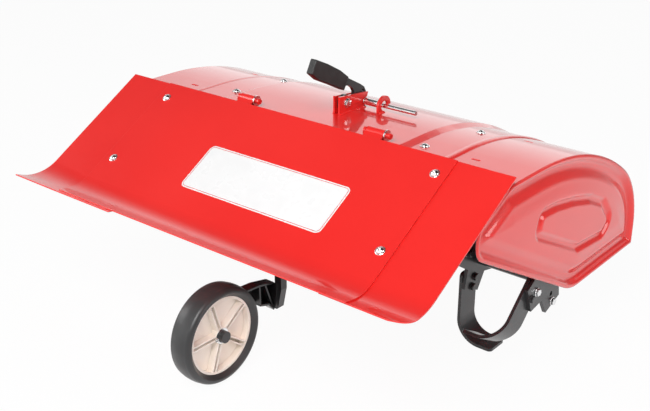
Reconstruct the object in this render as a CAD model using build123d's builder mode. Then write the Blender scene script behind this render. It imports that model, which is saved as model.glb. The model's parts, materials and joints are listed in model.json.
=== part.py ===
from build123d import *
from math import atan2, cos, degrees, radians, sin
import os

os.makedirs("parts", exist_ok=True)

# Rotavator for a two-wheel tractor, in millimetres.
# X runs to the right as the operator behind it sees it, Y forward, Z up from the floor.
# The origin is on the floor, under the middle of the whole machine.

# clearances
running_fit = 0.05      # radial, a shaft in its bore
lap_gap = 0.2           # paint between two sheets that lap
seat_gap = 0.3          # a piece that seats on another body or on a curved sheet
side_play = 1.0         # axial, a turning piece beside its carrier

# rotor
rotor_y = 85
rotor_z = 189.4         # the lowest blades lie flat on the floor
shaft_radius = 22
journal_radius = 20
inner_flange_x = 142
flange_rows = 3
end_gap = 22.5          # outermost flange to the end plate
flange_thickness = 8
lug_angles = (200, 247.5, 200)  # each flange's first lug, degrees up from straight ahead
lug_radius = 85         # a flange's corners
lug_half_angle = 20
valley_radius = 52
tine_thickness = 7
tine_width = 58
tine_reach = 82.5       # sideways, from the strap's middle surface to the blade's end
tine_bend = 50
tine_corner = 9
tine_lean = 22.5        # degrees between a shank and its lug
lean_radius = 70        # where the shank's middle line crosses the lug's
strap_inside = 36       # how far the strap runs inward from there
tine_drops = (rotor_z, rotor_z, 162)    # each row's blades from the axis, square to the blade
tine_skews = (0, 0, 17.5)       # degrees that each row's bend is turned from square
tine_blank = 260        # the flat bar that a tine is cut from
tine_hole = 5.5
tine_hole_inner = 50
tine_hole_outer = 72

# gear case and drive
case_half = 36
case_radius = 60
worm_height = 58        # input axis over the rotor axis
worm_radius = 44
case_front = 66
neck_radius = 36
neck_bore = 22
neck_flange_radius = 50
neck_flange = 10
coupling_y = 475        # the face that meets the tractor
coupling_radius = 58
coupling_thickness = 16
coupling_pcd = 92
coupling_hole = 5.5
coupling_holes = 4
input_radius = 14
stub_radius = 12
input_stub = 22
input_depth = 40        # how far the input shaft enters the gear case

# hood, measured from the rotor axis
hood_sheet = 2.5
hood_half = 493
hood_crown = 277
hood_reach = 351
crown_start = -125
crown_back = -212
nose_radius = 200
nose_height = -7
back_radius = 60
skirt_slope = 26.3
skirt_length = 95
front_low = -48
centre_half = 337
band_half = 240
band_rise = 6
band_run = 16           # width of the soft step at the band's edge
side_lap = 40           # how far a side hood reaches in under the centre one
notch_half = 64
notch_top = 122
slot_x = 376            # fixing slots in the side hoods
slot_ys = (-75, 125)
slot_length = 20
slot_width = 7

# end plates, measured from the rotor axis
plate_sheet = 2.5
plate_skirt = 60        # how far the plate's edge follows the skirt
plate_rear = -334
plate_heel = 170
plate_knee_y = 58
plate_corner = 24
bead_height = 5
bead_taper = 35
rim_bead_from = 12      # the bead that follows the outline, distances in from it
rim_bead_to = 40
island = ((-106, 140), (-103, 182), (-10, 176), (118, 136), (206, 66), (188, 38), (64, 38))
island_corner = 16
island_bead = 22        # width of the bead round the island

# hood frame
cheek = 6
cheek_low = 42
saddle = 5
saddle_half = 60
frame_front = 110
frame_back = -275
back_plate = 6
back_plate_top = 200

# flap
flap_half = 500
flap_centre_half = 380
flap_sheet = 2.5
flap_slope = 30.5
flap_top_y = -145       # its top edge
flap_top_z = 487
flap_length = 290       # straight part, down the slope
flap_curl = 80
flap_lip = 20
flap_lip_rise = 10
flap_laps = (165, 60)   # how far the left and the right panel reach in under the centre one
lap_lips = (26, 17)
lap_clear = 8           # the lapped strip round the hood's skirt
side_length = 278.5
side_curl = 100
side_lips = (16, 2)     # the left and the right panel's, past the curl
side_lip_rise = 22
flap_corner = 46        # outer corner of the right panel
hinge_y = -123
hinge_z = 488.5
hinge_pin = 5
knuckle_radius = 10.5
knuckles = ((-178, -139), (160, 203))
ear_gap = 3
ear_width = 5
ear_radius = 8
washer_radius = 11.5
washer_width = 2.5
pin_over = 10           # the pin beyond its washer
tongue = 4
tongue_length = 40

# lever, measured from its pivot
lever_x = 23.3
lever_y = -28.6
lever_rise = 20.5       # pivot over the hood
lever_bar = 8
lever_slot = 9.4        # between the bracket's two plates
bracket_sheet = 4
bracket_sink = 8        # drawn this far under the hood's top, then cut to its curve
bracket_top = ((-25, 18), (72, 8), (69, 0), (62, -6), (59, -20.5))
lever_pin = 6
pin_head = 4
hub_radius = 17
sector_radius = 71
sector_from = -42
sector_to = 6
bar_outer = ((71, 7), (63.6, 19.9), (48.5, 29.5), (8.6, 50.8))
bar_inner = ((0.2, 36), (11.7, 34.2), (23.5, 25.9), (29.5, 16.9), (29.6, 11.2))
lever_travel = 20       # degrees to each side, with a lock hole at each end and in the middle
grip_rise = 29.4        # degrees over the horizontal
grip_cover = 30         # length of bar inside the grip
grip_outline = ((7, 54), (-20, 74), (-60, 96), (-97, 113), (-112, 86), (-90, 68), (-50, 49), (-8, 28))
grip_thick = 16
grip_round = 2.5
lock_y = 59             # lock pin from the pivot
lock_z = -10
lock_radius = 4.75
lock_end_x = 165.5
lock_sleeve = 7.5
lock_sleeve_from = 37
lock_sleeve_to = 67
guide_x = 80
guide_sheet = 5
guide_radius = 21.5
guide_slot = 11

# tail wheel
wheel_x = 1
wheel_y = -405
tyre_radius = 104
tyre_width = 54
tyre_shoulder = 11
tyre_crown = 2          # how much lower the tread is at its edges
rim_radius = 82
rim_width = 36
rim_wall = 5
rim_web = 4
rib_pairs = 5
rib_start = 35
rib_gap = 9             # between the middles of a pair's two ribs
rib_sheet = 3
wheel_hub = 16
axle_radius = 7
axle_cap = 12
axle_cap_length = 11
spacer_radius = 11
post = 18
post_y = -209
post_low = 78
post_taper = 47         # the post's foot is cut back over this height
post_toe = (10, 14)     # and is this much narrower and shallower at its end
post_play = 0.3
sleeve_low = 245
sleeve_high = 325
sleeve_wall = 4
arm_gap = 5.5           # tyre to the arm's web
arm_web = 5.5
arm_sheet = 4
arm_inner_x = -10       # free edge of the arm's flanges and ribs
arm_boss = 18
arch = ((-302, 150), (-264, 147), (-220, 137))
arm_foot = ((-262, 100), (-236, 92), (-220, 74))
arm_rib = ((-263, 146), (-262, 102))
arm_gusset = ((-246, 142), (-222, 78))

# worked out
plate_inner = hood_half - plate_sheet
rotor_end = plate_inner - end_gap
flange_pitch = (rotor_end - flange_thickness / 2 - inner_flange_x) / (flange_rows - 1)
flange_xs = [inner_flange_x + flange_pitch * row for row in range(flange_rows)]
worm_z = rotor_z + worm_height
crown_run = hood_reach - nose_radius - crown_start
crown_drop = hood_crown - nose_height
crown_radius = (crown_run**2 + crown_drop**2 - nose_radius**2) / (2 * (crown_drop - nose_radius))
meet_angle = degrees(atan2(crown_radius - crown_drop, crown_run))
centre_grow = lap_gap + hood_sheet      # outer face of the centre hood over the side hoods'
band_grow = centre_grow + band_rise
hood_under = band_grow - hood_sheet - seat_gap
seat_grow = band_grow + seat_gap        # what stands on the hood ends on this surface
hood_top = rotor_z + hood_crown + band_grow
lever_z = hood_top + lever_rise
bracket_half = lever_slot / 2 + bracket_sheet
sleeve_half = post / 2 + post_play + sleeve_wall


def across(x):
    """A plane that looks along +X, with its origin on the rotor axis."""
    return Plane(origin=(x, rotor_y, rotor_z), x_dir=(0, 1, 0), z_dir=(1, 0, 0))


def side_view(x):
    """A plane that looks along +X, in the machine's own Y and Z."""
    return Plane.YZ.offset(x)


def forward(y, z):
    """A plane that looks along +Y, with its origin at height z and its own y up."""
    return Plane(origin=(0, y, z), x_dir=(-1, 0, 0), z_dir=(0, 1, 0))


def at_lever(x):
    """A plane that looks along +X, with its origin on the lever's pivot."""
    return Plane(origin=(x, lever_y, lever_z), x_dir=(0, 1, 0), z_dir=(1, 0, 0))


def skirt_end(grow, length):
    slope = radians(skirt_slope)
    start_y = crown_back - (back_radius + grow) * sin(slope)
    start_z = hood_crown - back_radius + (back_radius + grow) * cos(slope)
    return start_y - length * cos(slope), start_z - length * sin(slope)


def barrel_line(grow, low=front_low, skirt=skirt_length):
    """The hood's profile from its front edge over the crown to the rear skirt, moved out by grow."""
    Line((hood_reach + grow, low), (hood_reach + grow, nose_height))
    CenterArc((hood_reach - nose_radius, nose_height), nose_radius + grow, 0, meet_angle)
    CenterArc((crown_start, hood_crown - crown_radius), crown_radius + grow, meet_angle, 90 - meet_angle)
    Line((crown_start, hood_crown + grow), (crown_back, hood_crown + grow))
    CenterArc((crown_back, hood_crown - back_radius), back_radius + grow, 90, skirt_slope)
    Line(skirt_end(grow, 0), skirt_end(grow, skirt))


# rotor
with BuildPart() as rotor_shaft:
    with BuildSketch(across(0)):
        Circle(journal_radius)
    extrude(amount=case_half + side_play, both=True)
    for side in (-1, 1):
        with BuildSketch(across(side * (case_half + side_play))):
            Circle(shaft_radius)
        extrude(amount=side * (rotor_end - case_half - side_play))
    for row, flange_x in enumerate(flange_xs):
        lug_angle = lug_angles[row]
        for side in (-1, 1):
            with BuildSketch(across(side * flange_x - flange_thickness / 2)):
                with BuildLine():
                    corners = []
                    for lug in range(4):
                        at = lug_angle + 90 * lug
                        for turn, radius in (
                            (-lug_half_angle, lug_radius),
                            (lug_half_angle, lug_radius),
                            (45, valley_radius),
                        ):
                            corners.append(Vector(radius, 0).rotate(Axis.Z, at + turn))
                    Polyline(*corners, close=True)
                make_face()
                with PolarLocations(0, 4, start_angle=lug_angle):
                    with Locations((tine_hole_inner, 0), (tine_hole_outer, 0)):
                        Circle(tine_hole, mode=Mode.SUBTRACT)
            extrude(amount=flange_thickness)
rotor_shaft.part.label = "rotor_shaft"
export_step(rotor_shaft.part, "parts/rotor_shaft.step")


def tine_plane(x, angle, skew=0):
    """On a tine's strap: local x along the shank, local y sideways, and z across its width."""
    root = Vector(lean_radius, 0).rotate(Axis.Z, angle)
    shank = Vector(1, 0).rotate(Axis.Z, angle + tine_lean + skew)
    return Plane(
        origin=(x, rotor_y + root.X, rotor_z + root.Y),
        x_dir=(0, shank.X, shank.Y),
        z_dir=(0, -shank.Y, shank.X),
    )


# how each flange's four tines bend: outward 1, inward -1, none 0
tine_ways = ((1, -1, 1, -1), (1, -1, 1, -1), (-1, 0, -1, 0))
for row, flange_x in enumerate(flange_xs):
    # how far from the strap's start the blade lies
    skew = tine_skews[row]
    root_drop = lean_radius * cos(radians(tine_lean + skew))
    bend_run = tine_drops[row] - root_drop - tine_thickness / 2
    for side, hand in ((-1, "left"), (1, "right")):
        # the straps lie on the face of the flange that looks to the gear case
        face_x = side * (flange_x - flange_thickness / 2)
        middle_x = face_x - side * tine_thickness / 2
        with BuildPart() as tines:
            for lug, way in enumerate(tine_ways[row]):
                if way == 0:
                    continue
                angle = lug_angles[row] + 90 * lug
                strap = tine_plane(middle_x, angle)
                bend = tine_plane(middle_x, angle, skew)
                blade_end = side * way * tine_reach * strap.y_dir.X
                with BuildSketch(bend, mode=Mode.PRIVATE) as section:
                    with BuildLine():
                        FilletPolyline(
                            (-tine_blank / 2, 0), (bend_run, 0), (bend_run, blade_end),
                            radius=tine_bend,
                        )
                    trace(line_width=tine_thickness)
                bar = Plane(origin=strap.origin, x_dir=strap.x_dir, z_dir=strap.y_dir)
                with BuildSketch(bar, mode=Mode.PRIVATE) as outline:
                    with Locations((-strap_inside, 0)):
                        RectangleRounded(
                            tine_blank, tine_width, tine_corner, align=(Align.MIN, Align.CENTER)
                        )
                end_on = Plane(
                    origin=strap.origin, x_dir=(side * way, 0, 0), z_dir=strap.x_dir
                )
                with BuildSketch(end_on, mode=Mode.PRIVATE) as blade:
                    with Locations((tine_reach, 0)):
                        RectangleRounded(
                            tine_blank, tine_width, tine_corner, align=(Align.MAX, Align.CENTER)
                        )
                bent, shank, tip = (
                    extrude(part.sketch, amount=tine_blank, both=True, mode=Mode.PRIVATE)
                    for part in (section, outline, blade)
                )
                add(bent & shank & tip)
                with BuildSketch(across(face_x)):
                    with PolarLocations(0, 1, start_angle=angle):
                        with Locations((tine_hole_inner, 0), (tine_hole_outer, 0)):
                            Circle(tine_hole)
                extrude(amount=-side * tine_thickness, mode=Mode.SUBTRACT)
        tines.part.label = f"tines_{hand}_{row + 1}"
        export_step(tines.part, f"parts/tines_{hand}_{row + 1}.step")

# gear case and drive
with BuildPart() as gear_case:
    with BuildSketch(across(-case_half)):
        Circle(case_radius)
        with Locations((0, worm_height)):
            Circle(worm_radius)
        make_hull()
        with Locations((0, worm_height)):
            Rectangle(case_front, 2 * worm_radius, align=(Align.MIN, Align.CENTER))
    extrude(amount=2 * case_half)
    with BuildSketch(across(-case_half)):
        Circle(journal_radius + running_fit)
    extrude(amount=2 * case_half, mode=Mode.SUBTRACT)
    with BuildSketch(forward(rotor_y + case_front, worm_z)):
        Circle(input_radius + running_fit)
    extrude(amount=-input_depth, mode=Mode.SUBTRACT)
gear_case.part.label = "gear_case"
export_step(gear_case.part, "parts/gear_case.step")

neck_start = rotor_y + case_front
coupling_back = coupling_y - coupling_thickness
with BuildPart() as drive_neck:
    with BuildSketch(forward(neck_start, worm_z)):
        Rectangle(2 * case_half, 2 * worm_radius)
    extrude(amount=neck_flange)
    with BuildSketch(forward(neck_start, worm_z)):
        Circle(neck_radius)
    extrude(amount=coupling_back - neck_start)
    with BuildSketch(forward(coupling_back - neck_flange, worm_z)):
        Circle(neck_flange_radius)
    extrude(amount=neck_flange)
    with BuildSketch(forward(neck_start, worm_z)):
        Circle(neck_bore)
    extrude(amount=coupling_back - neck_start, mode=Mode.SUBTRACT)
drive_neck.part.label = "drive_neck"
export_step(drive_neck.part, "parts/drive_neck.step")

with BuildPart() as coupling_flange:
    with BuildSketch(forward(coupling_back, worm_z)):
        Circle(coupling_radius)
        Circle(input_radius + running_fit, mode=Mode.SUBTRACT)
        with PolarLocations(coupling_pcd / 2, coupling_holes, start_angle=45):
            Circle(coupling_hole, mode=Mode.SUBTRACT)
    extrude(amount=coupling_thickness)
coupling_flange.part.label = "coupling_flange"
export_step(coupling_flange.part, "parts/coupling_flange.step")

with BuildPart() as input_shaft:
    with BuildSketch(forward(neck_start - input_depth + side_play, worm_z)):
        Circle(input_radius)
    extrude(amount=coupling_y - neck_start + input_depth - side_play)
    with BuildSketch(forward(coupling_y, worm_z)):
        Circle(stub_radius)
    extrude(amount=input_stub)
input_shaft.part.label = "input_shaft"
export_step(input_shaft.part, "parts/input_shaft.step")

# hood
side_start = centre_half - side_lap
for side, hand in ((-1, "left"), (1, "right")):
    with BuildPart() as hood_side:
        with BuildSketch(across(side * side_start)):
            with BuildLine():
                barrel_line(-hood_sheet / 2)
            trace(line_width=hood_sheet)
        extrude(amount=side * (plate_inner - side_start))
        with BuildSketch(Plane.XY.offset(hood_top)):
            with Locations(*[(side * slot_x, slot_y) for slot_y in slot_ys]):
                SlotOverall(slot_length, slot_width)
        extrude(amount=-hood_crown / 2, mode=Mode.SUBTRACT)
    hood_side.part.label = f"hood_{hand}"
    export_step(hood_side.part, f"parts/hood_{hand}.step")

sector_slit = sector_radius + side_play     # forward of the lever's pivot
with BuildPart() as hood_centre:
    with BuildSketch(across(0)):
        with BuildLine():
            barrel_line(band_grow - hood_sheet / 2)
        trace(line_width=hood_sheet)
    extrude(amount=band_half - band_run / 2, both=True)
    for side in (-1, 1):
        for x, grow in ((band_half - band_run / 2, band_grow), (band_half + band_run / 2, centre_grow)):
            with BuildSketch(across(side * x)):
                with BuildLine():
                    barrel_line(grow - hood_sheet / 2)
                trace(line_width=hood_sheet)
        loft(ruled=True)
        with BuildSketch(across(side * (band_half + band_run / 2))):
            with BuildLine():
                barrel_line(centre_grow - hood_sheet / 2)
            trace(line_width=hood_sheet)
        extrude(amount=side * (centre_half - band_half - band_run / 2))
    with BuildSketch(forward(rotor_y + hood_reach / 2, rotor_z)):
        with Locations((0, front_low - hood_sheet)):
            Rectangle(
                2 * notch_half, notch_top - front_low, align=(Align.CENTER, Align.MIN)
            )
    extrude(amount=hood_reach, mode=Mode.SUBTRACT)
    with BuildSketch(Plane.XY.offset(hood_top)):
        with Locations((lever_x, lever_y)):
            Rectangle(lever_slot, sector_slit, align=(Align.CENTER, Align.MIN))
    extrude(amount=-2 * (band_rise + hood_sheet), mode=Mode.SUBTRACT)
hood_centre.part.label = "hood_centre"
export_step(hood_centre.part, "parts/hood_centre.step")

heel_y, heel_z = skirt_end(0, plate_skirt)
rear_drop = (heel_y - plate_rear) * sin(radians(skirt_slope)) / cos(radians(skirt_slope))
for side, hand in ((-1, "left"), (1, "right")):
    with BuildPart() as end_plate:
        with BuildSketch(across(side * plate_inner)) as outline:
            with BuildLine():
                barrel_line(0, skirt=plate_skirt)
                FilletPolyline(
                    (heel_y, heel_z),
                    (plate_rear, heel_z - rear_drop),
                    (plate_rear, plate_heel),
                    (plate_knee_y, front_low),
                    (hood_reach, front_low),
                    radius=plate_corner,
                )
            make_face()
        extrude(amount=side * plate_sheet)
        rim_out = offset(outline.sketch_local, -rim_bead_from, mode=Mode.PRIVATE)
        rim_in = offset(outline.sketch_local, -rim_bead_to, mode=Mode.PRIVATE)
        with BuildSketch(across(side * hood_half)) as beads:
            add(rim_out)
            add(rim_in, mode=Mode.SUBTRACT)
            with BuildLine():
                FilletPolyline(*island, radius=island_corner, close=True)
            trace(line_width=island_bead)
        extrude(amount=side * bead_height, taper=bead_taper)
        hollow = offset(beads.sketch_local, -plate_sheet, mode=Mode.PRIVATE)
        with BuildSketch(across(side * plate_inner)):
            add(hollow)
        extrude(amount=side * bead_height, mode=Mode.SUBTRACT)
    end_plate.part.label = f"end_plate_{hand}"
    export_step(end_plate.part, f"parts/end_plate_{hand}.step")

# hood frame and post sleeve
with BuildPart() as hood_frame:
    for side in (-1, 1):
        with BuildSketch(across(side * case_half)):
            with BuildLine():
                barrel_line(hood_under)
                Line(skirt_end(hood_under, skirt_length), (frame_back, cheek_low))
                Line((frame_back, cheek_low), (hood_reach + hood_under, front_low))
            make_face()
            with Locations(((frame_back + frame_front) / 2, cheek_low)):
                Rectangle(
                    frame_front - frame_back, 2 * hood_crown,
                    align=(Align.CENTER, Align.CENTER), mode=Mode.INTERSECT,
                )
            with Locations((0, cheek_low)):
                Rectangle(2 * hood_reach, hood_crown, align=(Align.CENTER, Align.MAX), mode=Mode.SUBTRACT)
        extrude(amount=side * cheek)
    with BuildSketch(across(0)):
        with BuildLine():
            barrel_line(hood_under - saddle / 2)
        trace(line_width=saddle)
        with Locations(((frame_back + frame_front) / 2, hood_crown)):
            Rectangle(frame_front - frame_back, hood_crown, mode=Mode.INTERSECT)
    extrude(amount=saddle_half, both=True)
    with BuildSketch(Plane.XY.offset(hood_top)):
        with Locations((lever_x, lever_y)):
            Rectangle(lever_slot, sector_slit, align=(Align.CENTER, Align.MIN))
    extrude(amount=-hood_crown / 4, mode=Mode.SUBTRACT)
    with BuildSketch(forward(rotor_y + frame_back - back_plate, 0)):
        with Locations((0, sleeve_low)):
            Rectangle(
                2 * (case_half + cheek), rotor_z + back_plate_top - sleeve_low,
                align=(Align.CENTER, Align.MIN),
            )
    extrude(amount=back_plate)
    with BuildSketch(Plane.XY.offset(sleeve_low)):
        with Locations((0, post_y)):
            Rectangle(2 * sleeve_half, 2 * sleeve_half)
            Rectangle(post + 2 * post_play, post + 2 * post_play, mode=Mode.SUBTRACT)
        with Locations((0, post_y + sleeve_half)):
            gusset = rotor_y + frame_back - back_plate - post_y - sleeve_half
            Rectangle(2 * sleeve_half, gusset, align=(Align.CENTER, Align.MIN))
    extrude(amount=sleeve_high - sleeve_low)
hood_frame.part.label = "hood_frame"
export_step(hood_frame.part, "parts/hood_frame.step")

# flap
def flap_profile(drop, length, curl_radius, rise, lip):
    """The flap's side view from its top edge down to the lip, drop being how far below the top face."""
    slope = radians(flap_slope)
    top = Vector(flap_top_y + drop * sin(slope), flap_top_z - drop * cos(slope))
    bend = top + Vector(-cos(slope), -sin(slope)) * length
    centre = bend + Vector(-sin(slope), cos(slope)) * (curl_radius + drop)
    Line(top, bend)
    curl = CenterArc(centre, curl_radius + drop, 270 + flap_slope, -(flap_slope + rise))
    Line(curl @ 1, curl @ 1 + Vector(-cos(radians(rise)), sin(radians(rise))) * lip)


with BuildPart() as flap_centre:
    with BuildSketch(side_view(-flap_centre_half)):
        with BuildLine():
            flap_profile(flap_sheet / 2, flap_length, flap_curl, flap_lip_rise, flap_lip)
        trace(line_width=flap_sheet)
    extrude(amount=2 * flap_centre_half)
flap_centre.part.label = "flap_centre"
export_step(flap_centre.part, "parts/flap_centre.step")

under_flap = flap_sheet * 1.5 + lap_gap     # the side panels' middle surface below the top face
for side, hand, lap, lap_lip, side_lip in zip(
    (-1, 1), ("left", "right"), flap_laps, lap_lips, side_lips
):
    with BuildPart() as flap_side:
        with BuildSketch(side_view(side * flap_centre_half)) as seam:
            with BuildLine():
                flap_profile(under_flap, flap_length, flap_curl, flap_lip_rise, lap_lip)
            trace(line_width=flap_sheet)
        extrude(amount=-side * lap)
        # the lapped strip starts behind the hood's skirt
        strip_y = rotor_y + skirt_end(0, skirt_length)[0] - lap_clear
        with BuildSketch(Plane.XY.offset(flap_top_z)):
            with Locations((side * (centre_half + lap_clear - lap / 2), strip_y)):
                Rectangle(lap, hood_reach, align=(Align.CENTER, Align.MIN))
        extrude(amount=-flap_length, mode=Mode.SUBTRACT)
        # from the seam out to the end the lip turns up more
        with BuildSketch(side_view(side * flap_centre_half)):
            add(seam.sketch_local)
        with BuildSketch(side_view(side * flap_half)):
            with BuildLine():
                flap_profile(under_flap, side_length, side_curl, side_lip_rise, side_lip)
            trace(line_width=flap_sheet)
        loft(ruled=True)
        if side == 1:
            far_y = flap_side.part.bounding_box().min.Y
            with BuildSketch(Plane.XY.offset(flap_top_z)):
                with Locations((flap_half, far_y)):
                    Rectangle(flap_corner, flap_corner, align=(Align.MAX, Align.MIN))
                with Locations((flap_half - flap_corner, far_y + flap_corner)):
                    Circle(flap_corner, mode=Mode.SUBTRACT)
            extrude(amount=-flap_length, mode=Mode.SUBTRACT)
    flap_side.part.label = f"flap_{hand}"
    export_step(flap_side.part, f"parts/flap_{hand}.step")

with BuildPart() as flap_knuckles:
    slope = radians(flap_slope)
    under = flap_sheet + lap_gap
    down = Vector(-cos(slope), -sin(slope))
    inward = Vector(sin(slope), -cos(slope))
    start = Vector(flap_top_y, flap_top_z) + inward * under
    for left, right in knuckles:
        with BuildSketch(side_view(left)):
            with BuildLine():
                Polyline(
                    (hinge_y, hinge_z + knuckle_radius),
                    start,
                    start + down * tongue_length,
                    start + down * tongue_length + inward * tongue,
                    start + inward * tongue,
                    (hinge_y, hinge_z + knuckle_radius - tongue),
                    close=True,
                )
            make_face()
            with Locations((hinge_y, hinge_z)):
                Circle(knuckle_radius)
                Circle(hinge_pin + running_fit, mode=Mode.SUBTRACT)
        extrude(amount=right - left)
flap_knuckles.part.label = "flap_knuckles"
export_step(flap_knuckles.part, "parts/flap_knuckles.step")

# each pin is welded to an ear on the hood, at the left of its knuckle
with BuildPart() as hinge_pins:
    for left, right in knuckles:
        ear_x = left - ear_gap - ear_width
        with BuildSketch(side_view(ear_x)):
            with Locations((hinge_y, hinge_z)):
                Circle(ear_radius)
            with Locations((hinge_y, hood_top + seat_gap)):
                Rectangle(
                    2 * ear_radius, hinge_z - hood_top - seat_gap, align=(Align.CENTER, Align.MIN)
                )
        extrude(amount=ear_width)
        with BuildSketch(side_view(ear_x)):
            with Locations((hinge_y, hinge_z)):
                Circle(hinge_pin)
        extrude(amount=right + washer_width + pin_over - ear_x)
hinge_pins.part.label = "hinge_pins"
export_step(hinge_pins.part, "parts/hinge_pins.step")

with BuildPart() as hinge_washers:
    for left, right in knuckles:
        with BuildSketch(side_view(right + side_play / 2)):
            with Locations((hinge_y, hinge_z)):
                Circle(washer_radius)
                Circle(hinge_pin + running_fit, mode=Mode.SUBTRACT)
        extrude(amount=washer_width)
hinge_washers.part.label = "hinge_washers"
export_step(hinge_washers.part, "parts/hinge_washers.step")

# lever
with BuildPart() as lever_bracket:
    for side in (-1, 1):
        with BuildSketch(at_lever(lever_x + side * lever_slot / 2)):
            with BuildLine():
                foot_z = -lever_rise - bracket_sink
                Polyline(
                    (bracket_top[0][0], foot_z), *bracket_top, (bracket_top[-1][0], foot_z), close=True
                )
            make_face()
            Circle(lever_pin + running_fit, mode=Mode.SUBTRACT)
            with Locations((lock_y, lock_z)):
                Circle(lock_radius + running_fit, mode=Mode.SUBTRACT)
        extrude(amount=side * bracket_sheet)
    with BuildSketch(across(lever_x)):
        with BuildLine():
            barrel_line(seat_grow)
            Line(skirt_end(seat_grow, skirt_length), (hood_reach + seat_grow, front_low))
        make_face()
    extrude(amount=bracket_half, both=True, mode=Mode.SUBTRACT)
lever_bracket.part.label = "lever_bracket"
export_step(lever_bracket.part, "parts/lever_bracket.step")

with BuildPart() as lever_pivot:
    with BuildSketch(at_lever(lever_x - bracket_half - pin_head)):
        Circle(lever_pin)
    extrude(amount=2 * (bracket_half + pin_head))
lever_pivot.part.label = "lever_pivot"
export_step(lever_pivot.part, "parts/lever_pivot.step")

grip_way = Vector(-cos(radians(grip_rise)), sin(radians(grip_rise)))
with BuildPart() as lever_bar_part:
    with BuildSketch(at_lever(lever_x - lever_bar / 2)):
        with BuildLine():
            Polyline(
                *bar_outer,
                Vector(*bar_outer[-1]) + grip_way * grip_cover,
                Vector(*bar_inner[0]) + grip_way * grip_cover,
                *bar_inner, (0, 0), close=True,
            )
        make_face()
        with BuildLine():
            edge = CenterArc((0, 0), sector_radius, sector_from, sector_to - sector_from)
            Line(edge @ 1, (0, 0))
            Line((0, 0), edge @ 0)
        make_face()
        Circle(hub_radius)
        Circle(lever_pin + running_fit, mode=Mode.SUBTRACT)
        for turn in (-lever_travel, 0, lever_travel):
            with Locations(Vector(lock_y, lock_z).rotate(Axis.Z, turn)):
                Circle(lock_radius + seat_gap, mode=Mode.SUBTRACT)
    extrude(amount=lever_bar)
lever_bar_part.part.label = "lever_bar"
export_step(lever_bar_part.part, "parts/lever_bar.step")

with BuildPart() as lever_grip:
    with BuildSketch(at_lever(lever_x - grip_thick / 2)):
        with BuildLine():
            Polyline(*grip_outline, close=True)
        make_face()
    extrude(amount=grip_thick)
    fillet(lever_grip.edges(), grip_round)
    with BuildSketch(at_lever(lever_x - lever_bar / 2)):
        with BuildLine():
            Polyline(
                bar_outer[-1],
                Vector(*bar_outer[-1]) + grip_way * grip_cover,
                Vector(*bar_inner[0]) + grip_way * grip_cover,
                bar_inner[0], close=True,
            )
        make_face()
    extrude(amount=lever_bar, mode=Mode.SUBTRACT)
lever_grip.part.label = "lever_grip"
export_step(lever_grip.part, "parts/lever_grip.step")


def at_lock(x):
    """A plane that looks along +X, with its origin on the lock pin's axis."""
    return Plane(origin=(x, lever_y + lock_y, lever_z + lock_z), x_dir=(0, 1, 0), z_dir=(1, 0, 0))


with BuildPart() as lock_pin:
    with BuildSketch(at_lock(lever_x + lever_bar / 2 + side_play)):
        Circle(lock_radius)
    extrude(amount=lock_end_x - lever_x - lever_bar / 2 - side_play)
    with BuildSketch(at_lock(lock_sleeve_from)):
        Circle(lock_sleeve)
    extrude(amount=lock_sleeve_to - lock_sleeve_from)
lock_pin.part.label = "lock_pin"
export_step(lock_pin.part, "parts/lock_pin.step")

# an open hook that stands on the hood, round the lock pin
with BuildPart() as pin_guide:
    with BuildSketch(at_lock(guide_x)):
        Circle(guide_radius)
        with Locations((0, -lever_rise - lock_z - bracket_sink)):
            Rectangle(
                guide_radius, lever_rise + lock_z + bracket_sink, align=(Align.MAX, Align.MIN)
            )
        Circle(guide_slot, mode=Mode.SUBTRACT)
        with Locations((0, 0)):
            Rectangle(2 * guide_radius, 2 * guide_slot, align=(Align.MIN, Align.MAX), mode=Mode.SUBTRACT)
    extrude(amount=guide_sheet)
    with BuildSketch(across(guide_x)):
        with BuildLine():
            barrel_line(seat_grow)
            Line(skirt_end(seat_grow, skirt_length), (hood_reach + seat_grow, front_low))
        make_face()
    extrude(amount=guide_sheet, mode=Mode.SUBTRACT)
pin_guide.part.label = "pin_guide"
export_step(pin_guide.part, "parts/pin_guide.step")

# tail wheel
def at_wheel(x):
    """A plane that looks along +X, with its origin on the tail wheel's axis."""
    return Plane(origin=(x, wheel_y, tyre_radius), x_dir=(0, 1, 0), z_dir=(1, 0, 0))


with BuildPart() as wheel_tyre:
    with BuildSketch(Plane(origin=(wheel_x, wheel_y, tyre_radius), x_dir=(1, 0, 0), z_dir=(0, -1, 0))):
        with BuildLine():
            half = tyre_width / 2
            tread_edge = half - tyre_shoulder
            edge_radius = tyre_radius - tyre_crown
            ThreePointArc((-tread_edge, edge_radius), (0, tyre_radius), (tread_edge, edge_radius))
            for side in (-1, 1):
                shoulder_end = (side * half, edge_radius - tyre_shoulder)
                TangentArc(
                    shoulder_end, (side * tread_edge, edge_radius), tangent=(0, 1)
                )
                Line(shoulder_end, (side * rim_width / 2, rim_radius))
            Line((-rim_width / 2, rim_radius), (rim_width / 2, rim_radius))
        make_face()
    revolve(axis=Axis((wheel_x, wheel_y, tyre_radius), (1, 0, 0)))
wheel_tyre.part.label = "wheel_tyre"
export_step(wheel_tyre.part, "parts/wheel_tyre.step")

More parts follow.
